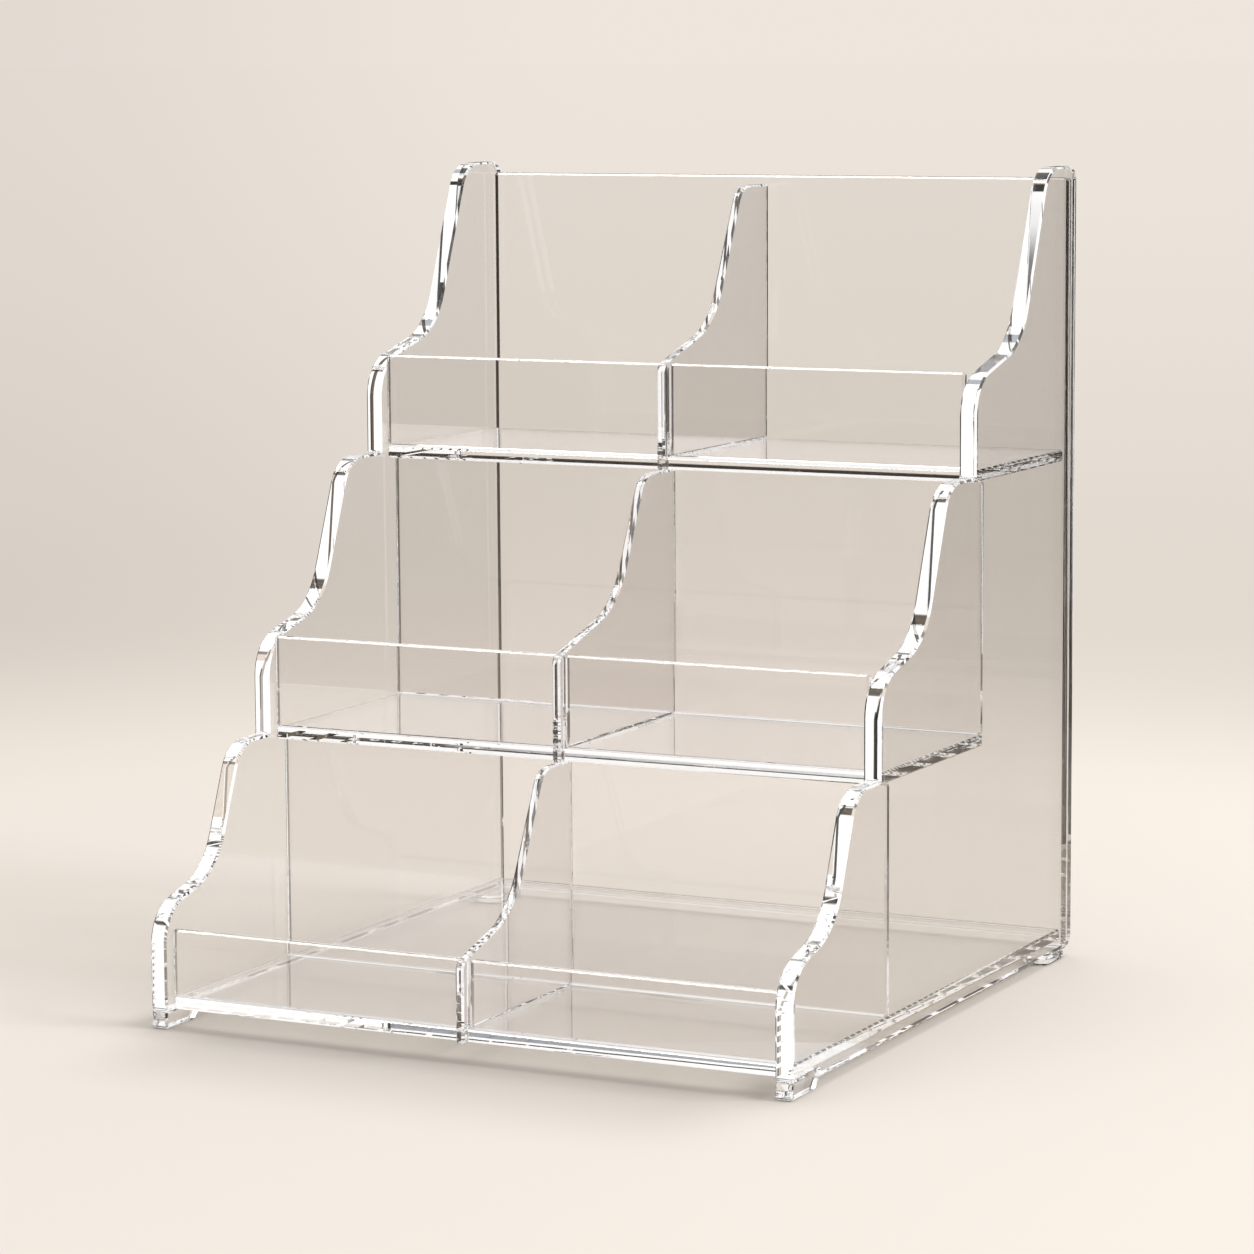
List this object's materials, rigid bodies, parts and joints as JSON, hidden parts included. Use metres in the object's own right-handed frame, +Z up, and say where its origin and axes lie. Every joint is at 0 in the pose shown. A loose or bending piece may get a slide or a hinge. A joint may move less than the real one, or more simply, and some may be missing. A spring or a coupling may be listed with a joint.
{
  "type": "acrylic display stand",
  "caption": "Clear acrylic countertop display stand with stepped tiers, S-curved side sheets, low front lips and middle dividers that make open-topped compartments.",
  "frame": {"origin": "centre of the footprint on the plane the four feet stand on", "axes": "+Z up, +Y from the front to the back, +X to the right when facing the front"},
  "size_m": [0.23, 0.234, 0.275],
  "materials": {
    "clear_acrylic_6mm": "cast acrylic sheet, 6 mm, flame-polished edges",
    "clear_acrylic_4mm": "cast acrylic sheet, 4 mm, flame-polished edges",
    "clear_acrylic_3mm": "cast acrylic sheet, 3 mm, flame-polished edges",
    "clear_acrylic_feet": "clear acrylic foot blocks, polished"
  },
  "bodies": {
    "root": {"left_side_sheet": "clear_acrylic_6mm", "right_side_sheet": "clear_acrylic_6mm", "back_sheet": "clear_acrylic_6mm", "base_sheet": "clear_acrylic_4mm", "middle_floor": "clear_acrylic_4mm", "top_floor": "clear_acrylic_4mm", "lower_riser": "clear_acrylic_3mm", "upper_riser": "clear_acrylic_3mm", "lower_lip_left": "clear_acrylic_3mm", "lower_lip_right": "clear_acrylic_3mm", "middle_lip_left": "clear_acrylic_3mm", "middle_lip_right": "clear_acrylic_3mm", "top_lip_left": "clear_acrylic_3mm", "top_lip_right": "clear_acrylic_3mm", "lower_divider": "clear_acrylic_3mm", "middle_divider": "clear_acrylic_3mm", "top_divider": "clear_acrylic_3mm", "front_foot_left": "clear_acrylic_feet", "front_foot_right": "clear_acrylic_feet", "rear_foot_left": "clear_acrylic_feet", "rear_foot_right": "clear_acrylic_feet"}
  },
  "joints": []
}
